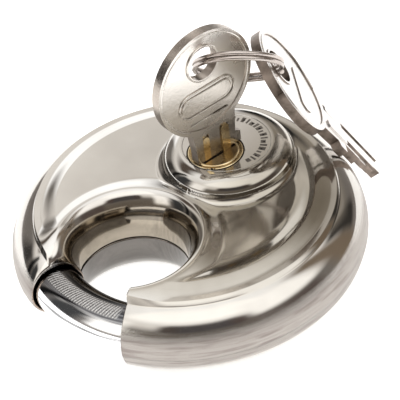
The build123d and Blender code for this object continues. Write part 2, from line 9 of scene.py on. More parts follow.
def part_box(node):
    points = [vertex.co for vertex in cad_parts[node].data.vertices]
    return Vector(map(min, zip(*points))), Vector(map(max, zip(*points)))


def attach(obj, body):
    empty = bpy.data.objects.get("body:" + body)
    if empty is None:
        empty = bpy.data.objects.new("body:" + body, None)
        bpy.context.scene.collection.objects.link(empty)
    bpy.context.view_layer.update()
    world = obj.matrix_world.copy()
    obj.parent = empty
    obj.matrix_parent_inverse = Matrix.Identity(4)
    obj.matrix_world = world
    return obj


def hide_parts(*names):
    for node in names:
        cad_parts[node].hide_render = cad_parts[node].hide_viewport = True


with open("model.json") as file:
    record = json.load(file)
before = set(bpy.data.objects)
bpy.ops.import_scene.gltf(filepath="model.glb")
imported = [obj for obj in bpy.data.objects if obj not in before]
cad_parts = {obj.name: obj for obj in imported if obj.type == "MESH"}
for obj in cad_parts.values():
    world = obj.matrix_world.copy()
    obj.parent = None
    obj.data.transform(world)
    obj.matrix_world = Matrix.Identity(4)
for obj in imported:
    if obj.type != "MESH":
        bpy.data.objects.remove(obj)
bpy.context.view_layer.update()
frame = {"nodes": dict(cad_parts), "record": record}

# Lengths are in millimetres until MM turns them into metres. x and y are measured from the
# disc's axis. Names in capitals are chosen here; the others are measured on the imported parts.
MM = 0.001

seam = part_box("upper_shell")[0][2] / MM
body_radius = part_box("upper_shell")[1][0] / MM
boss_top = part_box("upper_shell")[1][2] / MM - seam  # over the seam
plug_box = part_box("plug")
plug_y = (plug_box[0][1] + plug_box[1][1]) / 2 / MM
plug_top = plug_box[1][2] / MM - seam  # over the seam

# plan of the body
BOSS_Y = 13.1
THROAT_Y = -15.9
WAIST = 10.8  # radius of the throat at its narrowest
MOUTH = radians(20.0)  # half of the opening, seen from the disc's axis
RIM_CENTRE = 26.7  # the rim is a round section about this radius
CREASE = 29.5  # radius at which the faces meet the rim
rim_section = body_radius - RIM_CENTRE
crease_angle = acos((CREASE - RIM_CENTRE) / rim_section)
crease_height = rim_section * sin(crease_angle)

# front face: radii, and heights over the seam
FLOOR = 8.75  # the dish
BAND_TOP = 9.45  # the band outside it
BAND_START, BAND_FULL = 20.6, 25.2  # on the right the band steps up between these radii
SLOPE_START, SLOPE_FULL = 4.0, 27.0  # on the left the face slopes up between these
STEP_NONE, STEP_FULL = -0.45, 0.15  # x over radius, where the slope turns into the step
BAND_BOW = 0.55  # share of the band's fall that is curved
LIP_TOP = 9.75  # the lip round the throat
LIP_ROLL = 3.6  # width of the lip's rolled inner side
LIP_FALL = 4.4  # width over which the lip falls to the dish
LIP_LIMIT = 22  # distance from the throat's axis at which the lip is forgotten
LIP_BLEND, BOSS_BLEND = 0.35, 0.5
BOSS_FLAT, BOSS_EDGE = 9.1, 13.0  # radii of the boss's flat face and of its roll's end
BOSS_DROP = 3.3  # height of the roll
FOOT_DROP, FOOT_WIDTH = 2.2, 1.6  # the foot below it
FACE_HOLE = 5.55  # hole in the boss round the housing's nose
HOLE_SNAP_OUT, HOLE_SNAP_IN = 0.12, 0.25  # points this near the hole's edge are moved onto it

# back face
BACK_FLAT = 24.8  # radius of the flat part
BACK_BOW = 1.6
BACK_ROLL = 4.2  # width of the rolled edge at the throat

# where the two half shells meet, and the mouth of the shackle's tail
SEAM_GAP = 0.16
RIM_OVERLAP = -0.16
RIM_PROUD = 0.05
MOUTH_HOLE = 5.55  # radius of the collar round the bar
MOUTH_BLEND = 13.0  # degrees over which the shell is drawn in to the collar
MOUTH_FREE, MOUTH_DRAWN = 17.0, 21.5  # radii between which the drawing-in starts

# shackle
SHACKLE_RADIUS = 29.0
SHACKLE_WIRE = 4.8


# ---------- materials ----------


def new_material(name):
    material = bpy.data.materials.new(name)
    material.use_nodes = True
    tree = material.node_tree
    tree.nodes.clear()
    out = tree.nodes.new("ShaderNodeOutputMaterial")
    shader = tree.nodes.new("ShaderNodeBsdfPrincipled")
    tree.links.new(shader.outputs[0], out.inputs[0])
    return material, tree, shader


def noise(tree, scale, detail=3.0, stretch=(1, 1, 1), rough=0.5, source="Object"):
    coords = tree.nodes.new("ShaderNodeTexCoord")
    mapping = tree.nodes.new("ShaderNodeMapping")
    mapping.inputs["Scale"].default_value = stretch
    texture = tree.nodes.new("ShaderNodeTexNoise")
    texture.inputs["Scale"].default_value = scale
    texture.inputs["Detail"].default_value = detail
    texture.inputs["Roughness"].default_value = rough
    tree.links.new(coords.outputs[source], mapping.inputs["Vector"])
    tree.links.new(mapping.outputs[0], texture.inputs["Vector"])
    return texture.outputs["Fac"]


def ramp(tree, value, stops):
    node = tree.nodes.new("ShaderNodeValToRGB")
    node.color_ramp.elements[0].position = stops[0][0]
    node.color_ramp.elements[0].color = (*stops[0][1], 1)
    node.color_ramp.elements[1].position = stops[-1][0]
    node.color_ramp.elements[1].color = (*stops[-1][1], 1)
    for position, colour in stops[1:-1]:
        element = node.color_ramp.elements.new(position)
        element.color = (*colour, 1)
    tree.links.new(value, node.inputs[0])
    return node.outputs[0]


def remap(tree, value, low, high, to_low, to_high):
    node = tree.nodes.new("ShaderNodeMapRange")
    node.inputs["From Min"].default_value = low
    node.inputs["From Max"].default_value = high
    node.inputs["To Min"].default_value = to_low
    node.inputs["To Max"].default_value = to_high
    tree.links.new(value, node.inputs["Value"])
    return node.outputs[0]


def combine(tree, operation, a, b):
    node = tree.nodes.new("ShaderNodeMath")
    node.operation = operation
    for i, item in enumerate((a, b)):
        if hasattr(item, "is_linked"):
            tree.links.new(item, node.inputs[i])
        else:
            node.inputs[i].default_value = item
    return node.outputs[0]


def window(tree, value, low, high, soft):
    """One inside a band of values, zero outside it."""
    off = combine(tree, "ABSOLUTE", combine(tree, "SUBTRACT", value, (low + high) / 2), 0.0)
    half = (high - low) / 2
    return remap(tree, off, half - soft, half + soft, 1.0, 0.0)


def mix_colour(tree, factor, a, b):
    node = tree.nodes.new("ShaderNodeMix")
    node.data_type = "RGBA"
    tree.links.new(factor, node.inputs[0])
    for socket, item in ((node.inputs[6], a), (node.inputs[7], b)):
        if hasattr(item, "is_linked"):
            tree.links.new(item, socket)
        else:
            socket.default_value = (*item, 1)
    return node.outputs[2]


def bump(tree, shader, height, strength, distance):
    node = tree.nodes.new("ShaderNodeBump")
    node.inputs["Strength"].default_value = strength
    node.inputs["Distance"].default_value = distance
    tree.links.new(height, node.inputs["Height"])
    tree.links.new(node.outputs[0], shader.inputs["Normal"])


def place_on(tree, source):
    """Separate X, Y, Z of a texture coordinate."""
    coords = tree.nodes.new("ShaderNodeTexCoord")
    split = tree.nodes.new("ShaderNodeSeparateXYZ")
    tree.links.new(coords.outputs[source], split.inputs[0])
    return split.outputs["X"], split.outputs["Y"], split.outputs["Z"]


def metal(name, light, dark, rough_low, rough_high, scratch=0.15, scale=60.0):
    """Metal with cloudy tone, uneven gloss and fine scratches."""
    material, tree, shader = new_material(name)
    shader.inputs["Metallic"].default_value = 1.0
    cloud = noise(tree, scale, 4.0)
    fine = noise(tree, scale * 12, 3.0, rough=0.6)
    tone = ramp(tree, cloud, [(0.3, dark), (0.7, light)])
    tree.links.new(tone, shader.inputs["Base Color"])
    tree.links.new(remap(tree, cloud, 0.3, 0.7, rough_low, rough_high), shader.inputs["Roughness"])
    bump(tree, shader, fine, scratch, 0.00005)
    return material


# squares of distances from the disc's axis in square metres, of 26.8 and 31.3 mm, over which the
# dish's painted reflection fades out
DISH_REFLECTION_END, DISH_REFLECTION_GONE = 0.00072, 0.00098


def shell_metal(name, throat_shade):
    """Polished steel that turns to a brushed belt round the rim and to satin with painted shade
    down the throat.

    The second argument colours the throat with painted shade. The dish carries a painted brown
    reflection on its right side.
    """
    material, tree, shader = new_material(name)
    shader.inputs["Metallic"].default_value = 1.0
    belt = place_on(tree, "UV")[1]
    out_x, out_y, _ = place_on(tree, "Object")
    cloud = noise(tree, 55.0, 4.0)
    grain = noise(tree, 1.0, 6.0, (7.0, 260.0, 1.0), 0.7, "UV")
    swirl = noise(tree, 700.0, 4.0)

    # polished face, with a painted brown reflection on the dish's right side
    polished = ramp(tree, cloud, [(0.3, (0.55, 0.53, 0.50)), (0.7, (0.66, 0.64, 0.61))])
    drift = combine(tree, "ADD", out_x, combine(tree, "MULTIPLY", cloud, 0.006))
    dish_reflection = remap(tree, drift, 0.002, 0.012, 0.0, 1.0)
    square_x = combine(tree, "MULTIPLY", out_x, out_x)
    square_y = combine(tree, "MULTIPLY", out_y, out_y)
    square = combine(tree, "ADD", square_x, square_y)
    inside = remap(tree, square, DISH_REFLECTION_END, DISH_REFLECTION_GONE, 1.0, 0.12)
    dish_reflection = combine(tree, "MULTIPLY", dish_reflection, inside)
    shaded = ramp(tree, cloud, [(0.3, (0.34, 0.315, 0.27)), (0.7, (0.50, 0.47, 0.42))])
    polished = mix_colour(tree, dish_reflection, polished, shaded)

    # brushed belt with darker blotches
    streaks = [(0.32, (0.26, 0.23, 0.215)), (0.5, (0.40, 0.37, 0.345)), (0.68, (0.56, 0.53, 0.50))]
    brushed = ramp(tree, grain, streaks)
    blotch = noise(tree, 1.0, 3.0, (22.0, 9.0, 1.0), 0.55, "UV")
    stain = remap(tree, blotch, 0.48, 0.66, 0.0, 0.75)
    stained = mix_colour(tree, stain, brushed, (0.25, 0.215, 0.20))
    frayed = combine(tree, "ADD", belt, combine(tree, "MULTIPLY", grain, 0.35))
    edge = remap(tree, frayed, 0.70, 0.86, 0.0, 1.0)
    colour = mix_colour(tree, edge, polished, stained)

    # satin wall of the throat, darkened with painted shade
    rubbed = noise(tree, 1.0, 5.0, (60.0, 4.0, 1.0), 0.6, "UV")
    satin_and_shade = ramp(tree, rubbed, [(0.3, tuple(0.7 * c for c in throat_shade)), (0.7, throat_shade)])
    wall = remap(tree, belt, -0.22, -0.55, 0.0, 1.0)
    colour = mix_colour(tree, wall, colour, satin_and_shade)

    # pits
    coords = tree.nodes.new("ShaderNodeTexCoord")
    pits = tree.nodes.new("ShaderNodeTexVoronoi")
    pits.inputs["Scale"].default_value = 75.0
    tree.links.new(coords.outputs["Object"], pits.inputs["Vector"])
    spot = remap(tree, pits.outputs["Distance"], 0.010, 0.022, 1.0, 0.0)
    colour = mix_colour(tree, spot, colour, (0.03, 0.025, 0.02))
    tree.links.new(colour, shader.inputs["Base Color"])

    gloss = remap(tree, cloud, 0.3, 0.7, 0.07, 0.13)
    rough = remap(tree, grain, 0.3, 0.7, 0.30, 0.46)
    node = tree.nodes.new("ShaderNodeMix")
    tree.links.new(edge, node.inputs[0])
    tree.links.new(gloss, node.inputs[2])
    tree.links.new(rough, node.inputs[3])
    tree.links.new(node.outputs[0], shader.inputs["Roughness"])
    drawn = combine(tree, "MULTIPLY", grain, edge)
    relief = combine(tree, "ADD", drawn, combine(tree, "MULTIPLY", swirl, 0.10))
    bump(tree, shader, relief, 0.25, 0.00006)
    return material


# ---------- meshes ----------


def make_object(name, points, faces, uv=None, material=None, smooth=True):
    mesh = bpy.data.meshes.new(name)
    mesh.from_pydata([tuple(p) for p in points], [], faces)
    if smooth:
        mesh.polygons.foreach_set("use_smooth", [True] * len(mesh.polygons))
    if uv is not None:
        layer = mesh.uv_layers.new(name="UVMap")
        loops = np.zeros(len(mesh.loops), dtype=np.int32)
        mesh.loops.foreach_get("vertex_index", loops)
        layer.data.foreach_set("uv", np.asarray(uv, dtype=np.float32)[loops].ravel())
    mesh.update()
    obj = bpy.data.objects.new(name, mesh)
    bpy.context.scene.collection.objects.link(obj)
    if material:
        mesh.materials.append(material)
    return obj


def grid_faces(rows, columns, wrap=False):
    index = np.arange(rows * columns).reshape(rows, columns)
    right = np.roll(index, -1, axis=1) if wrap else index[:, 1:]
    left = index if wrap else index[:, :-1]
    quads = np.stack([left[:-1], right[:-1], right[1:], left[1:]], axis=-1)
    return quads.reshape(-1, 4)


def smooth_step(x, low, high):
    t = np.clip((x - low) / (high - low), 0, 1)
    return t * t * (3 - 2 * t)


def smooth_max(a, b, k):
    h = np.clip(0.5 + 0.5 * (a - b) / k, 0, 1)
    return b * (1 - h) + a * h + k * h * (1 - h)


def front_height(x, y):
    """Height of the front face over the seam: dish, outer band, hole lip and boss."""
    r = np.hypot(x, y)
    h = np.hypot(x, y - THROAT_Y)
    b = np.hypot(x, y - BOSS_Y)
    # outer band: rises from the dish, rounds over and falls to the crease
    stepped = smooth_step(r, BAND_START, BAND_FULL)
    sloped = smooth_step(r, SLOPE_START, SLOPE_FULL)
    share = smooth_step(x / np.maximum(r, 0.1), STEP_NONE, STEP_FULL)
    rise = FLOOR + (BAND_TOP - FLOOR) * (stepped * share + sloped * (1 - share))
    t = np.clip((r - BAND_FULL) / (CREASE - BAND_FULL), 0, 1)
    fall = (BAND_TOP - crease_height) * ((1 - BAND_BOW) * t + BAND_BOW * t**2)
    band = np.where(r < BAND_FULL, rise, BAND_TOP - fall)
    # lip: highest at its roll's start, falling outwards to the dish
    crest = WAIST + LIP_ROLL
    lip = FLOOR + (LIP_TOP - FLOOR) * (1 - smooth_step(h, crest, crest + LIP_FALL))
    level = smooth_max(band, np.where(h < LIP_LIMIT, lip, FLOOR), LIP_BLEND)
    # boss: flat face, polished roll and a foot that runs out into the dish
    u = np.clip((b - BOSS_FLAT) / (BOSS_EDGE - BOSS_FLAT), 0, 1)
    roll = boss_top - BOSS_DROP * (1 - np.sqrt(np.clip(1 - u**2, 0, 1)))
    foot = boss_top - BOSS_DROP - FOOT_DROP * (1 - np.exp(-(b - BOSS_EDGE) / FOOT_WIDTH))
    boss = np.where(b < BOSS_FLAT, boss_top, np.where(b < BOSS_EDGE, roll, foot))
    return np.where(b < BOSS_EDGE, np.maximum(boss, level), smooth_max(boss, level, BOSS_BLEND))


def back_height(x, y):
    """Depth of the back face under the seam: flat, falling to the crease."""
    r = np.hypot(x, y)
    t = np.clip((r - BACK_FLAT) / (CREASE - BACK_FLAT), 0, 1)
    return seam - (seam - crease_height) * t**BACK_BOW


def ray_reach(alpha, radius):
    """Distance from the throat's axis, along alpha, to a circle about the disc's axis."""
    along = THROAT_Y * np.sin(alpha)
    return -along + np.sqrt(radius**2 - THROAT_Y**2 + along**2)


def round_mouth(x, y, z):
    """Draw the shell in towards a round collar at the mouth where the shackle's tail comes out."""
    away = np.degrees(np.arctan2(-x, -y)) - degrees(MOUTH)
    t = np.clip(away / MOUTH_BLEND, 0, 1)
    rho = np.hypot(x, y)
    pull = np.where(x < 0, 1 - np.sqrt(1 - (1 - t) ** 2), 0.0)
    pull = pull * smooth_step(rho, MOUTH_FREE, MOUTH_DRAWN)
    across = rho - SHACKLE_RADIUS
    distance = np.maximum(np.hypot(across, z), 0.01)
    scale = 1 - pull + pull * MOUTH_HOLE / distance
    new_rho = SHACKLE_RADIUS + across * scale
    return x / rho * new_rho, y / rho * new_rho, z * scale


ROLL_ROWS, FACE_ROWS, RIM_ROWS = 34, 190, 34
COLUMNS = 760
HALVINGS = 40
SHEET_THICKNESS = 0.5


def reach(kind, value, alpha, roll, sign):
    """Distance from the throat's axis to the points of one row of a half shell."""
    limit = ray_reach(alpha, CREASE - 0.02)
    start = np.minimum(WAIST + roll, limit - 0.3)
    if kind == "roll":
        return start - (start - WAIST) * sin(value)
    if kind == "face":
        return start + (limit + 0.02 - start) * value
    proud = RIM_PROUD * (1 - abs(value) / crease_angle) if sign > 0 else 0.0
    return ray_reach(alpha, RIM_CENTRE + rim_section * cos(value) + proud)


def row_place(kind, value, alpha, roll, sign):
    distance = reach(kind, value, alpha, roll, sign)
    return distance * np.cos(alpha), THROAT_Y + distance * np.sin(alpha)


def mouth_edge(kind, value, roll, sign):
    """Angle at the throat's axis, from -y, at which a row meets the mouth; found by halving."""
    low, high = np.array([MOUTH]), np.array([radians(80.0)])
    for _ in range(HALVINGS):
        middle = (low + high) / 2
        x, y = row_place(kind, value, middle - pi / 2, roll, sign)
        inside = np.arctan2(x, -y) < MOUTH
        low = np.where(inside, middle, low)
        high = np.where(inside, high, middle)
    return high[0]


def shell_surface(height, roll, sign):
    """Outside of a half shell as rows from the waist, over the lip, to the rim's equator.

    The first texture coordinate runs round the disc. The second is 0 on the face, rises to 1
    at the rim's equator and falls to -1 at the waist.
    """
    rim_end = RIM_OVERLAP if sign > 0 else 0.0
    rows = [("roll", phi) for phi in np.linspace(pi / 2, 0, ROLL_ROWS)]
    rows += [("face", t) for t in np.linspace(0, 1, FACE_ROWS)[1:]]
    rows += [("rim", t) for t in np.linspace(crease_angle, rim_end, RIM_ROWS)[1:]]
    # columns lie closer together opposite the mouth
    u = np.linspace(0, 1, COLUMNS)
    off = np.abs(2 * u - 1)
    warp = np.where(off < 0.5, off * 0.5, 0.25 + (off - 0.5) * 1.5)
    spread = 0.5 + 0.5 * np.sign(u - 0.5) * warp
    points, uv = [], []
    for kind, value in rows:
        edge = mouth_edge(kind, value, roll, sign)
        alpha = -pi / 2 + edge + spread * (2 * pi - 2 * edge)
        x, y = row_place(kind, value, alpha, roll, sign)
        if kind == "rim":
            z = np.full_like(x, rim_section * sin(value))
            belt = 1 - abs(value) / crease_angle
        elif kind == "face":
            z = height(x, y)
            belt = 0.0
        else:
            lip = height(*row_place("roll", 0.0, alpha, roll, sign))
            z = np.maximum(lip * cos(value), SEAM_GAP)
            belt = -value / (pi / 2)
        x, y, z = round_mouth(x, y, z)
        points.append(np.stack([x * MM, y * MM, (seam + sign * z) * MM], axis=-1))
        uv.append(np.stack([np.arctan2(y, x) / (2 * pi), np.full_like(x, belt)], axis=-1))
    return np.array(points), np.array(uv)


def shell_object(name, height, roll, sign, material, hole=None):
    """Half shell as sheet metal; sign is 1 for the front, hole is (centre's y, radius)."""
    points, uv = shell_surface(height, roll, sign)
    rows, columns = points.shape[:2]
    faces = grid_faces(rows, columns)
    flat = points.reshape(-1, 3)
    if hole:
        centre_y, radius = hole
        away = np.hypot(flat[:, 0] / MM, flat[:, 1] / MM - centre_y)
        faces = faces[(away[faces] > radius - HOLE_SNAP_OUT).all(axis=1)]
        close = (away < radius + HOLE_SNAP_OUT) & (away > radius - HOLE_SNAP_IN)
        factor = radius / np.maximum(away[close], 0.1)
        flat[close, 0] *= factor
        flat[close, 1] = (centre_y + (flat[close, 1] / MM - centre_y) * factor) * MM
    if sign > 0:
        faces = faces[:, ::-1]
    obj = make_object(name, flat, faces.tolist(), uv.reshape(-1, 2), material)
    obj.data.materials.append(shade_inside_metal)
    obj.data.materials.append(edge_metal)
    solid = obj.modifiers.new("sheet", "SOLIDIFY")
    solid.thickness = SHEET_THICKNESS * MM
    solid.offset = -1
    solid.use_rim = True
    solid.material_offset = 1
    solid.material_offset_rim = 2
    return obj


# the second argument is the throat's painted shade, darker on the back shell
steel = shell_metal("polished_shell", (0.44, 0.385, 0.31))
back_steel = shell_metal("polished_back", (0.22, 0.205, 0.19))
# near-black painted shade on the inside of the sheet, seen through the seam's gap
shade_inside_metal = metal("shell_inside_painted_shade", (0.05, 0.045, 0.04), (0.02, 0.018, 0.016), 0.5, 0.7)
edge_metal = metal("sheet_edge", (0.62, 0.52, 0.44), (0.40, 0.32, 0.26), 0.25, 0.4)
upper = shell_object("front_skin", front_height, LIP_ROLL, 1, steel, (plug_y, FACE_HOLE))
lower = shell_object("back_skin", back_height, BACK_ROLL, -1, back_steel)
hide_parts("upper_shell")
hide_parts("lower_shell")
for obj in (upper, lower):
    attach(obj, "casing")

# ---------- shackle ----------
# Places round the bar are shares of a turn, from the outside over the top.
# painted dark reflection on the bar's upper inner side, and a thin painted dark reflection line on
# its outer side
REFLECTION_SIDE = (0.150, 0.42)
REFLECTION_LINE = (0.036, 0.046)
HATCH_AROUND = (0.175, 0.275)
HATCH_ALONG = (-0.045, 0.052)  # shares of a turn about the disc's axis
BAR_TIP, BAR_TAIL = -33.0, 160.0  # degrees from -y
BAR_STEPS, BAR_SIDES = 360, 96
END_STEPS, END_ROUNDING = 8, 0.9


def shackle_metal():
    """Chrome with a painted dark reflection on its upper side, a thin painted dark reflection line
    and a panel of generic hatching.
    """
    material, tree, shader = new_material("shackle_chrome")
    shader.inputs["Metallic"].default_value = 1.0
    along, around, _ = place_on(tree, "UV")
    cloud = noise(tree, 70.0, 4.0)
    streak = noise(tree, 1.0, 4.0, (14.0, 90.0, 1.0), 0.6, "UV")
    wander = combine(tree, "ADD", around, remap(tree, streak, 0.3, 0.7, -0.012, 0.012))
    colour = ramp(tree, cloud, [(0.3, (0.80, 0.81, 0.83)), (0.7, (0.90, 0.90, 0.91))])
    # painted dark reflection over the upper inner side, then a thin painted dark reflection line
    dark_reflection = ramp(tree, streak, [(0.35, (0.05, 0.05, 0.055)), (0.65, (0.22, 0.22, 0.23))])
    colour = mix_colour(tree, window(tree, wander, *REFLECTION_SIDE, 0.010), colour, dark_reflection)
    line = window(tree, wander, *REFLECTION_LINE, 0.004)
    colour = mix_colour(tree, line, colour, (0.06, 0.06, 0.065))

    # hatching: slanted bars, broken up by a weave
    weave = noise(tree, 1.0, 2.0, (900.0, 260.0, 1.0), 0.5, "UV")
    lean = combine(tree, "MULTIPLY", around, 120.0)
    slant = combine(tree, "ADD", combine(tree, "MULTIPLY", along, 1900.0), lean)
    bars = remap(tree, combine(tree, "SINE", slant, 0.0), -0.2, 0.4, 0.25, 1.0)
    mark = combine(tree, "MULTIPLY", bars, remap(tree, weave, 0.35, 0.6, 0.4, 1.0))
    above = window(tree, around, *HATCH_AROUND, 0.004)
    panel = combine(tree, "MULTIPLY", above, window(tree, along, *HATCH_ALONG, 0.002))
    hatch = combine(tree, "MULTIPLY", panel, mark)
    colour = mix_colour(tree, hatch, colour, (0.78, 0.77, 0.76))
    tree.links.new(colour, shader.inputs["Base Color"])
    tree.links.new(remap(tree, cloud, 0.3, 0.7, 0.05, 0.12), shader.inputs["Roughness"])
    bump(tree, shader, hatch, 0.5, 0.00015)
    return material


def shackle_object(material):
    """Round bar bent about the disc's axis, with both ends rounded off."""
    ends = []
    for i in range(END_STEPS + 1):
        a = pi / 2 * i / END_STEPS
        back = END_ROUNDING * (1 - cos(a))
        ends.append((degrees(back / SHACKLE_RADIUS), END_ROUNDING * (1 - sin(a))))
    length = BAR_TAIL - BAR_TIP
    stations = [(BAR_TIP + turn, inset) for turn, inset in ends]
    stations += [(BAR_TIP + 2 + (length - 4) * i / BAR_STEPS, 0.0) for i in range(BAR_STEPS + 1)]
    stations += [(BAR_TAIL - turn, inset) for turn, inset in reversed(ends)]
    points, uv = [], []
    for angle, inset in stations:
        psi = radians(-90.0 - angle)
        radius = SHACKLE_WIRE - inset
        for k in range(BAR_SIDES):
            a = 2 * pi * k / BAR_SIDES
            rho = SHACKLE_RADIUS + radius * cos(a)
            points.append((rho * cos(psi) * MM, rho * sin(psi) * MM, (seam + radius * sin(a)) * MM))
            uv.append((angle / 360.0, k / BAR_SIDES))
    faces = grid_faces(len(stations), BAR_SIDES, True).tolist()
    last = (len(stations) - 1) * BAR_SIDES
    faces.append(list(range(BAR_SIDES)))
    faces.append(list(reversed(range(last, last + BAR_SIDES))))
    return make_object("shackle_bar", points, faces, uv, material)


chrome = shackle_metal()
bar = shackle_object(chrome)
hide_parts("shackle")
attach(bar, "shackle")

# ---------- CAD pieces that keep their own shape ----------
# heights between which the bow's painted reflection turns from dark to light
BOW_REFLECTION_FROM, BOW_REFLECTION_TO = 0.029, 0.045  # heights on the bow, in metres


def paint_bow_reflection(material):
    """Paint a reflection on a key's bow: lighter towards its crown and darker lower down."""
    tree = material.node_tree
    shader = next(node for node in tree.nodes if node.type == "BSDF_PRINCIPLED")
    tone = shader.inputs["Base Color"].links[0].from_socket
    rise = remap(tree, place_on(tree, "Object")[2], BOW_REFLECTION_FROM, BOW_REFLECTION_TO, 0.0, 1.0)
    tones = [(0.0, (0.30, 0.27, 0.24)), (0.5, (0.62, 0.58, 0.53)), (1.0, (0.96, 0.93, 0.89))]
    node = tree.nodes.new("ShaderNodeMix")
    node.data_type = "RGBA"
    node.inputs[0].default_value = 0.7
    tree.links.new(tone, node.inputs[6])
    tree.links.new(ramp(tree, rise, tones), node.inputs[7])
    tree.links.new(node.outputs[2], shader.inputs["Base Color"])


plain_steel = metal("pressed_steel", (0.40, 0.39, 0.38), (0.28, 0.27, 0.26), 0.35, 0.55, 0.3, 60.0)
dark_steel = metal("hard_steel", (0.30, 0.29, 0.28), (0.18, 0.17, 0.17), 0.30, 0.5, 0.3, 60.0)
brass = metal("turned_brass", (0.76, 0.60, 0.33), (0.48, 0.35, 0.17), 0.16, 0.30, 0.25, 90.0)
plug_brass = metal("plug_face_brass", (0.44, 0.33, 0.18), (0.2, 0.14, 0.07), 0.16, 0.34, 0.3, 200.0)
nickel = metal("key_nickel", (0.66, 0.63, 0.58), (0.50, 0.47, 0.43), 0.20, 0.32, 0.35, 110.0)
# painted reflection on the key's bow
paint_bow_reflection(nickel)
ring_metal = metal("ring_plating", (0.62, 0.57, 0.54), (0.40, 0.35, 0.32), 0.15, 0.30, 0.2, 130.0)
finishes = {
    "shell_steel": steel,
    "shackle_steel": chrome,
    "inner_steel": plain_steel,
    "hard_steel": dark_steel,
    "brass": brass,
    "plug_brass": plug_brass,
    "spring_steel": plain_steel,
    "key_nickel": nickel,
    "ring_steel": ring_metal,
}
slots = {row["node"]: row["material_slot"] for row in frame["record"]["subparts"]}
for node, obj in frame["nodes"].items():
    obj.data.materials.clear()
    obj.data.materials.append(finishes[slots[node]])

# ---------- small parts ----------
SIDES = 10  # of a round wire


def tube(name, path, radius, material, body, closed=True):
    """Round wire along a path of points in millimetres."""
    path = [Vector(p) for p in path]
    count = len(path)
    points = []
    for i, place in enumerate(path):
        if closed:
            way = path[(i + 1) % count] - path[i - 1]
        else:
            way = path[min(i + 1, count - 1)] - path[max(i - 1, 0)]
        way.normalize()
        side = way.orthogonal() if i == 0 else side - way * side.dot(way)
        side.normalize()
        other = way.cross(side)
        for k in range(SIDES):
            a = 2 * pi * k / SIDES
            points.append((place + side * (radius * cos(a)) + other * (radius * sin(a))) * MM)
    faces = []
    for i in range(count if closed else count - 1):
        for k in range(SIDES):
            j, m = (i + 1) % count, (k + 1) % SIDES
            faces.append((i * SIDES + k, i * SIDES + m, j * SIDES + m, j * SIDES + k))
    if not closed:
        faces.append(tuple(range(SIDES - 1, -1, -1)))
        faces.append(tuple((count - 1) * SIDES + k for k in range(SIDES)))
    obj = make_object(name, points, faces, None, material)
    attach(obj, body)
    return obj


def block(name, place, corners, low, high, material, body):
    """Prism over flat corners, between two heights off a plane; place maps (h, v, n) to space."""
    count = len(corners)
    points = [place(h, v, n) * MM for n in (low, high) for h, v in corners]
    faces = [tuple(range(count - 1, -1, -1)), tuple(range(count, 2 * count))]
    for k in range(count):
        m = (k + 1) % count
        faces.append((k, m, count + m, count + k))
    obj = make_object(name, points, faces, None, material, False)
    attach(obj, body)
    return obj


def arc(centre_h, centre_v, radius, start, end, steps):
    angles = [radians(start + (end - start) * i / steps) for i in range(steps + 1)]
    return [(centre_h + radius * cos(a), centre_v + radius * sin(a)) for a in angles]


def stadium(centre_h, centre_v, length, width):
    half, radius = (length - width) / 2, width / 2
    right = arc(centre_h + half, centre_v, radius, -90, 90, 16)
    return right + arc(centre_h - half, centre_v, radius, 90, 270, 16)


# On a key, h runs across the blade, v up from the seam's height and n out of its face.
BOW_OFFSET, BOW_CENTRE, BOW_RADIUS = -1.0, 31.0, 11.3
HOLE_HEIGHT, HOLE_RADIUS = 35.6, 3.45
KEY_FACE = 1.0  # half of its thickness
STAMP_HEIGHT = 27.6  # middle of the raised slot
STAMP_SIZES = ((13.4, 5.2), (11.6, 3.4))
STAMP_SINK = 0.06
EDGE_INSET = 0.75  # raised edge of the bow, inside its outline
GROOVE_SINK = 0.45
GROOVE_PROUD = (0.03, 0.30)  # left, right
# outlines of the brass seen in the blade's two grooves
GROOVE_LEFT = [(-3.35, 12.6), (-1.85, 12.6), (-1.85, 17.9)]
GROOVE_LEFT += arc(-2.6, 17.9, 0.75, 0, 180, 8) + [(-3.35, 17.9)]
GROOVE_RIGHT = [(1.05, 12.6), (2.95, 12.6), (2.95, 18.9), (2.5, 19.4), (1.5, 19.4), (1.05, 18.9)]
key_way = Vector((cos(radians(81.0)), sin(radians(81.0)), 0))
key_normal = Vector((key_way.y, -key_way.x, 0))
spare_across = Vector((0.762, -0.642, -0.087))
spare_up = Vector((-0.261, -0.427, 0.866)).normalized()
spare_across = (spare_across - spare_up * spare_across.dot(spare_up)).normalized()
spare_normal = spare_across.cross(spare_up)
spare_hole = Vector((7.0, 21.7, 28.65 + seam))
spare_origin = spare_hole - spare_across * BOW_OFFSET - spare_up * HOLE_HEIGHT


def on_key(h, v, n):
    return Vector((0, plug_y, seam)) + key_way * h + Vector((0, 0, v)) + key_normal * n


def on_spare(h, v, n):
    return spare_origin + spare_across * h + spare_up * v + spare_normal * n


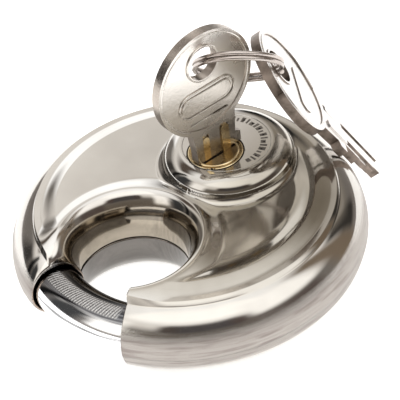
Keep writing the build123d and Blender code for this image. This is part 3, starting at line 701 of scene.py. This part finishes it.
def stamp_key(prefix, place, body, metals, normal, stamped):
    """Raised lines of the bow, brass in the grooves and a darker cut edge."""
    face_metal, side_metal, groove_metal = metals
    mesh = frame["nodes"][body].data
    mesh.materials.clear()
    mesh.materials.append(face_metal)
    mesh.materials.append(side_metal)
    for polygon in mesh.polygons:
        polygon.material_index = 0 if abs(polygon.normal.dot(normal)) > 0.7 else 1
    outer_slot, inner_slot = [stadium(BOW_OFFSET, STAMP_HEIGHT, *size) for size in STAMP_SIZES]
    crown = arc(BOW_OFFSET, HOLE_HEIGHT, HOLE_RADIUS + 0.35, 0, 354, 40)
    lines = (
        ("edge", arc(BOW_OFFSET, BOW_CENTRE, BOW_RADIUS - EDGE_INSET, -62, 242, 120), 0.20, False),
        ("slot", outer_slot, 0.16, True),
        ("slot_inner", inner_slot, 0.12, True),
        ("line", [(-5.4, 23.0), (3.6, 23.0)], 0.14, False),
        ("crown", crown, 0.16, True),
    )
    grooves = (("left", GROOVE_LEFT, GROOVE_PROUD[0]), ("right", GROOVE_RIGHT, GROOVE_PROUD[1]))
    for side, out in (("front", 1), ("back", -1)):
        for label, path, radius, closed in lines if stamped else lines[:1]:
            points = [place(h, v, out * (KEY_FACE - STAMP_SINK)) for h, v in path]
            name = prefix + "_" + label + "_" + side
            tube(name, points, radius, face_metal, body, closed)
        for label, corners, proud in grooves:
            inner, outer = out * (KEY_FACE - GROOVE_SINK), out * (KEY_FACE + proud)
            name = prefix + "_groove_" + label + "_" + side
            low, high = min(inner, outer), max(inner, outer)
            block(name, place, corners, low, high, groove_metal, body)


bright_brass = metal("bright_brass", (0.86, 0.72, 0.46), (0.46, 0.33, 0.17), 0.1, 0.24, 0.25, 170.0)
key_side = metal("key_side", (0.60, 0.55, 0.50), (0.40, 0.35, 0.31), 0.2, 0.4, 0.6, 200.0)
spare_side = metal("spare_side", (0.34, 0.28, 0.24), (0.10, 0.08, 0.065), 0.25, 0.5, 1.0, 420.0)
spare_face = metal("spare_nickel", (0.80, 0.78, 0.76), (0.62, 0.59, 0.57), 0.16, 0.3, 0.35, 110.0)
key_metals = (nickel, key_side, bright_brass)
spare_metals = (spare_face, spare_side, spare_face)
stamp_key("key", on_key, "key", key_metals, key_normal, True)
stamp_key("spare", on_spare, "spare_key", spare_metals, spare_normal, False)


# ---------- rims and marks on the boss, and painted shadow lines ---
RIM_STEPS = 96
PLUG_RIM, NOSE_RIM, NOSE_GAP = 4.45, 5.28, 5.62  # radii about the plug's axis
BOSS_STEP = 8.75  # radius of the fine step round the boss face
SEAM_ENDS = (-38, 210)  # the seam's painted shadow line in the throat, in degrees
# corners of the painted shadow in the keyway's mouth, beside the key
KEYWAY_SHADOW = [(-4.75, -1.35), (4.1, -1.35), (4.1, 1.3), (-4.75, 1.3)]


def circle(centre_y, radius, height):
    turns = [2 * pi * i / RIM_STEPS for i in range(RIM_STEPS)]
    return [(radius * cos(a), centre_y + radius * sin(a), seam + height) for a in turns]


# near-black painted shadow for the gap round the housing's nose, the throat's seam and the keyway's
# mouth
painted_shadow = metal("painted_shadow", (0.03, 0.025, 0.02), (0.015, 0.012, 0.01), 0.5, 0.7)
plug_edge = circle(plug_y, PLUG_RIM, plug_top + 0.02)
tube("plug_rim", plug_edge, 0.34, bright_brass, "plug")
nose_edge = circle(plug_y, NOSE_RIM, plug_top)
tube("nose_rim", nose_edge, 0.24, bright_brass, "casing")
tube("nose_gap", circle(plug_y, NOSE_GAP, boss_top), 0.10, painted_shadow, "casing")
seam_arc = [(h, THROAT_Y + v, seam) for h, v in arc(0, 0, WAIST + 0.22, *SEAM_ENDS, 120)]
tube("throat_seam", seam_arc, 0.24, painted_shadow, "casing", False)
step_edge = circle(BOSS_Y, BOSS_STEP, boss_top - 0.02)
tube("boss_step", step_edge, 0.10, steel, "casing")


def on_plug(h, n, up_by):
    return Vector((0, plug_y, seam + plug_top + up_by)) + key_way * h + key_normal * n


# painted shadow in the keyway's mouth
block("keyway_shadow", on_plug, KEYWAY_SHADOW, -0.05, 0.02, painted_shadow, "plug")


def on_boss(angle, radius, n):
    return Vector((radius * cos(angle), BOSS_Y + radius * sin(angle), seam + boss_top + n))


TICKS = 17
TICK_START, TICK_STEP = -14, 8.4  # degrees
TICK_HALF_WIDTH = 0.06  # radians
TICK_WIDTHS = (1.0, 0.45, 0.8, 0.45, 1.0, 0.6)
TICK_IN, TICK_OUT, TICK_SHORT = 6.75, 8.15, 7.75  # radii
DOT_NEAR, DOT_FAR = 0.095, 0.145  # radians after the tick
DOT_IN, DOT_OUT = 7.2, 7.6
MARK_SINK, MARK_PROUD = -0.1, 0.03


def boss_mark(name, start, end, low, high):
    corners = [(start, low), (end, low), (end, high), (start, high)]
    block(name, on_boss, corners, MARK_SINK, MARK_PROUD, mark_metal, "casing")


def boss_marks():
    """Ring of generic ticks pressed into the boss face; it spells nothing."""
    for i in range(TICKS):
        angle = radians(TICK_START + TICK_STEP * i)
        width = TICK_HALF_WIDTH * TICK_WIDTHS[i % len(TICK_WIDTHS)]
        tick_end = TICK_OUT if i % 3 else TICK_SHORT
        boss_mark("boss_tick_%d" % i, angle - width, angle + width, TICK_IN, tick_end)
        if i % 2:
            boss_mark("boss_dot_%d" % i, angle + DOT_NEAR, angle + DOT_FAR, DOT_IN, DOT_OUT)


mark_metal = metal("mark_metal", (0.20, 0.18, 0.16), (0.09, 0.08, 0.07), 0.3, 0.5, 0.4, 300.0)
boss_marks()

# ---------- stage ----------
floor_material, tree, shader = new_material("floor_paper")
paper = ramp(tree, noise(tree, 8.0, 2.0), [(0.0, (0.93, 0.93, 0.93)), (1.0, (0.96, 0.96, 0.96))])
tree.links.new(paper, shader.inputs["Base Color"])
shader.inputs["Roughness"].default_value = 0.9
shader.inputs["Emission Color"].default_value = (1.0, 1.0, 1.0, 1.0)
shader.inputs["Emission Strength"].default_value = 0.62
FLOOR_HALF = 3.0  # metres
corners = [(FLOOR_HALF * x, FLOOR_HALF * y, 0) for x, y in ((-1, -1), (1, -1), (1, 1), (-1, 1))]
floor = make_object("floor", corners, [(0, 1, 2, 3)], None, floor_material)

# ---------- light ----------
# The polished steel shows what stands round it, so the light is a sky with painted panels.
CAMERA_AZIMUTH = 46.06
scene = bpy.context.scene
world = bpy.data.worlds.new("studio")
scene.world = world
world.use_nodes = True
tree = world.node_tree
tree.nodes.clear()
output = tree.nodes.new("ShaderNodeOutputWorld")
background = tree.nodes.new("ShaderNodeBackground")
tree.links.new(background.outputs[0], output.inputs[0])
coords = tree.nodes.new("ShaderNodeTexCoord")
split = tree.nodes.new("ShaderNodeSeparateXYZ")
tree.links.new(coords.outputs["Generated"], split.inputs[0])
sky = ramp(
    tree,
    remap(tree, split.outputs["Z"], -1.0, 1.0, 0.0, 1.0),
    [
        (0.0, (0.60, 0.58, 0.56)),
        (0.49, (0.32, 0.29, 0.27)),
        (0.58, (0.25, 0.225, 0.205)),
        (0.70, (0.24, 0.22, 0.20)),
        (0.80, (1.10, 1.05, 0.99)),
        (0.90, (1.25, 1.22, 1.18)),
        (1.0, (1.6, 1.6, 1.6)),
    ],
)


def patch(colour, azimuth, low, high, half_width, soft, value):
    """Mix one soft-edged panel into the surroundings.

    Azimuth 0 is behind the lock as the camera sees it, and 90 is on the right. low and high
    are elevations. All angles are in degrees.
    """
    a = radians(CAMERA_AZIMUTH - azimuth)
    ahead = (-sin(a), cos(a), 0)
    side = (ahead[1], -ahead[0], 0)
    parts = []
    for axis in (ahead, side):
        dot = tree.nodes.new("ShaderNodeVectorMath")
        dot.operation = "DOT_PRODUCT"
        tree.links.new(coords.outputs["Generated"], dot.inputs[0])
        dot.inputs[1].default_value = axis
        parts.append(dot.outputs["Value"])
    angle = combine(tree, "ABSOLUTE", combine(tree, "ARCTAN2", parts[1], parts[0]), 0.0)
    across = remap(tree, angle, radians(half_width - soft), radians(half_width + soft), 1.0, 0.0)
    rise = combine(tree, "ARCSINE", split.outputs["Z"], 0.0)
    along = window(tree, rise, radians(low), radians(high), radians(soft))
    return mix_colour(tree, combine(tree, "MULTIPLY", across, along), colour, value)


for panel in (
    # camera side: bright upper window over a dark line and a brown lower part
    (180, 48, 80, 60, 5, (1.75, 1.72, 1.66)),
    (180, -5, 20, 70, 6, (0.22, 0.19, 0.16)),
    (180, 22, 42, 24, 3, (0.10, 0.09, 0.09)),
    (-158, 24, 40, 6, 3, (0.10, 0.08, 0.07)),
    (154, 24, 40, 8, 3, (0.12, 0.09, 0.08)),
    # right: tall white window with a dark sill
    (122, 30, 64, 26, 5, (1.6, 1.57, 1.52)),
    (124, 6, 24, 22, 4, (0.15, 0.12, 0.11)),
    (77, -4, 60, 11, 5, (0.26, 0.20, 0.145)),
    (57, 8, 44, 8, 3, (0.055, 0.05, 0.045)),
    # behind: white card between dark stands
    (-8, -30, 32, 12, 3, (1.7, 1.7, 1.7)),
    (10, -35, 28, 4, 2, (0.02, 0.02, 0.02)),
    (18, 4, 18, 5, 3, (0.02, 0.02, 0.02)),
    (-36, 42, 57, 26, 4, (0.13, 0.10, 0.08)),
    (28, 24, 54, 24, 8, (0.40, 0.355, 0.30)),
    # left: dark stands and a white window
    (-57, -5, 26, 9, 4, (0.06, 0.055, 0.05)),
    (-73, -35, 48, 4, 2, (0.006, 0.006, 0.006)),
    (-90, -6, 42, 11, 4, (0.06, 0.06, 0.06)),
    (-120, 8, 42, 12, 4, (1.6, 1.56, 1.5)),
):
    sky = patch(sky, *panel)
tree.links.new(sky, background.inputs["Color"])
background.inputs["Strength"].default_value = 1.0

# ---------- camera ----------
# The view comes from a perspective fit of the disc, the throat, the boss and the key.
ELEVATION, ROLL = 40.61, 7.82  # degrees
DISTANCE = 393.3  # from the disc's centre at the seam
SHIFT_X, SHIFT_Y = -2.02, -5.73
azimuth, elevation, roll_angle = radians(CAMERA_AZIMUTH), radians(ELEVATION), radians(ROLL)
forward = Vector((-sin(azimuth) * cos(elevation), cos(azimuth) * cos(elevation), -sin(elevation)))
right = Vector((cos(azimuth), sin(azimuth), 0))
up = right.cross(forward)
rolled_right = right * cos(roll_angle) - up * sin(roll_angle)
rolled_up = right * sin(roll_angle) + up * cos(roll_angle)
centre = Vector((0, 0, seam))
place = centre - forward * DISTANCE - rolled_right * SHIFT_X - rolled_up * SHIFT_Y
camera_data = bpy.data.cameras.new("camera")
camera_data.lens = 180.2
camera_data.sensor_width = 36.0
camera_data.clip_start = 0.01
camera_data.clip_end = 20.0
camera = bpy.data.objects.new("camera", camera_data)
scene.collection.objects.link(camera)
matrix = Matrix((rolled_right, rolled_up, -forward)).transposed().to_4x4()
matrix.translation = place * MM
camera.matrix_world = matrix
scene.camera = camera
scene.view_settings.view_transform = "Standard"
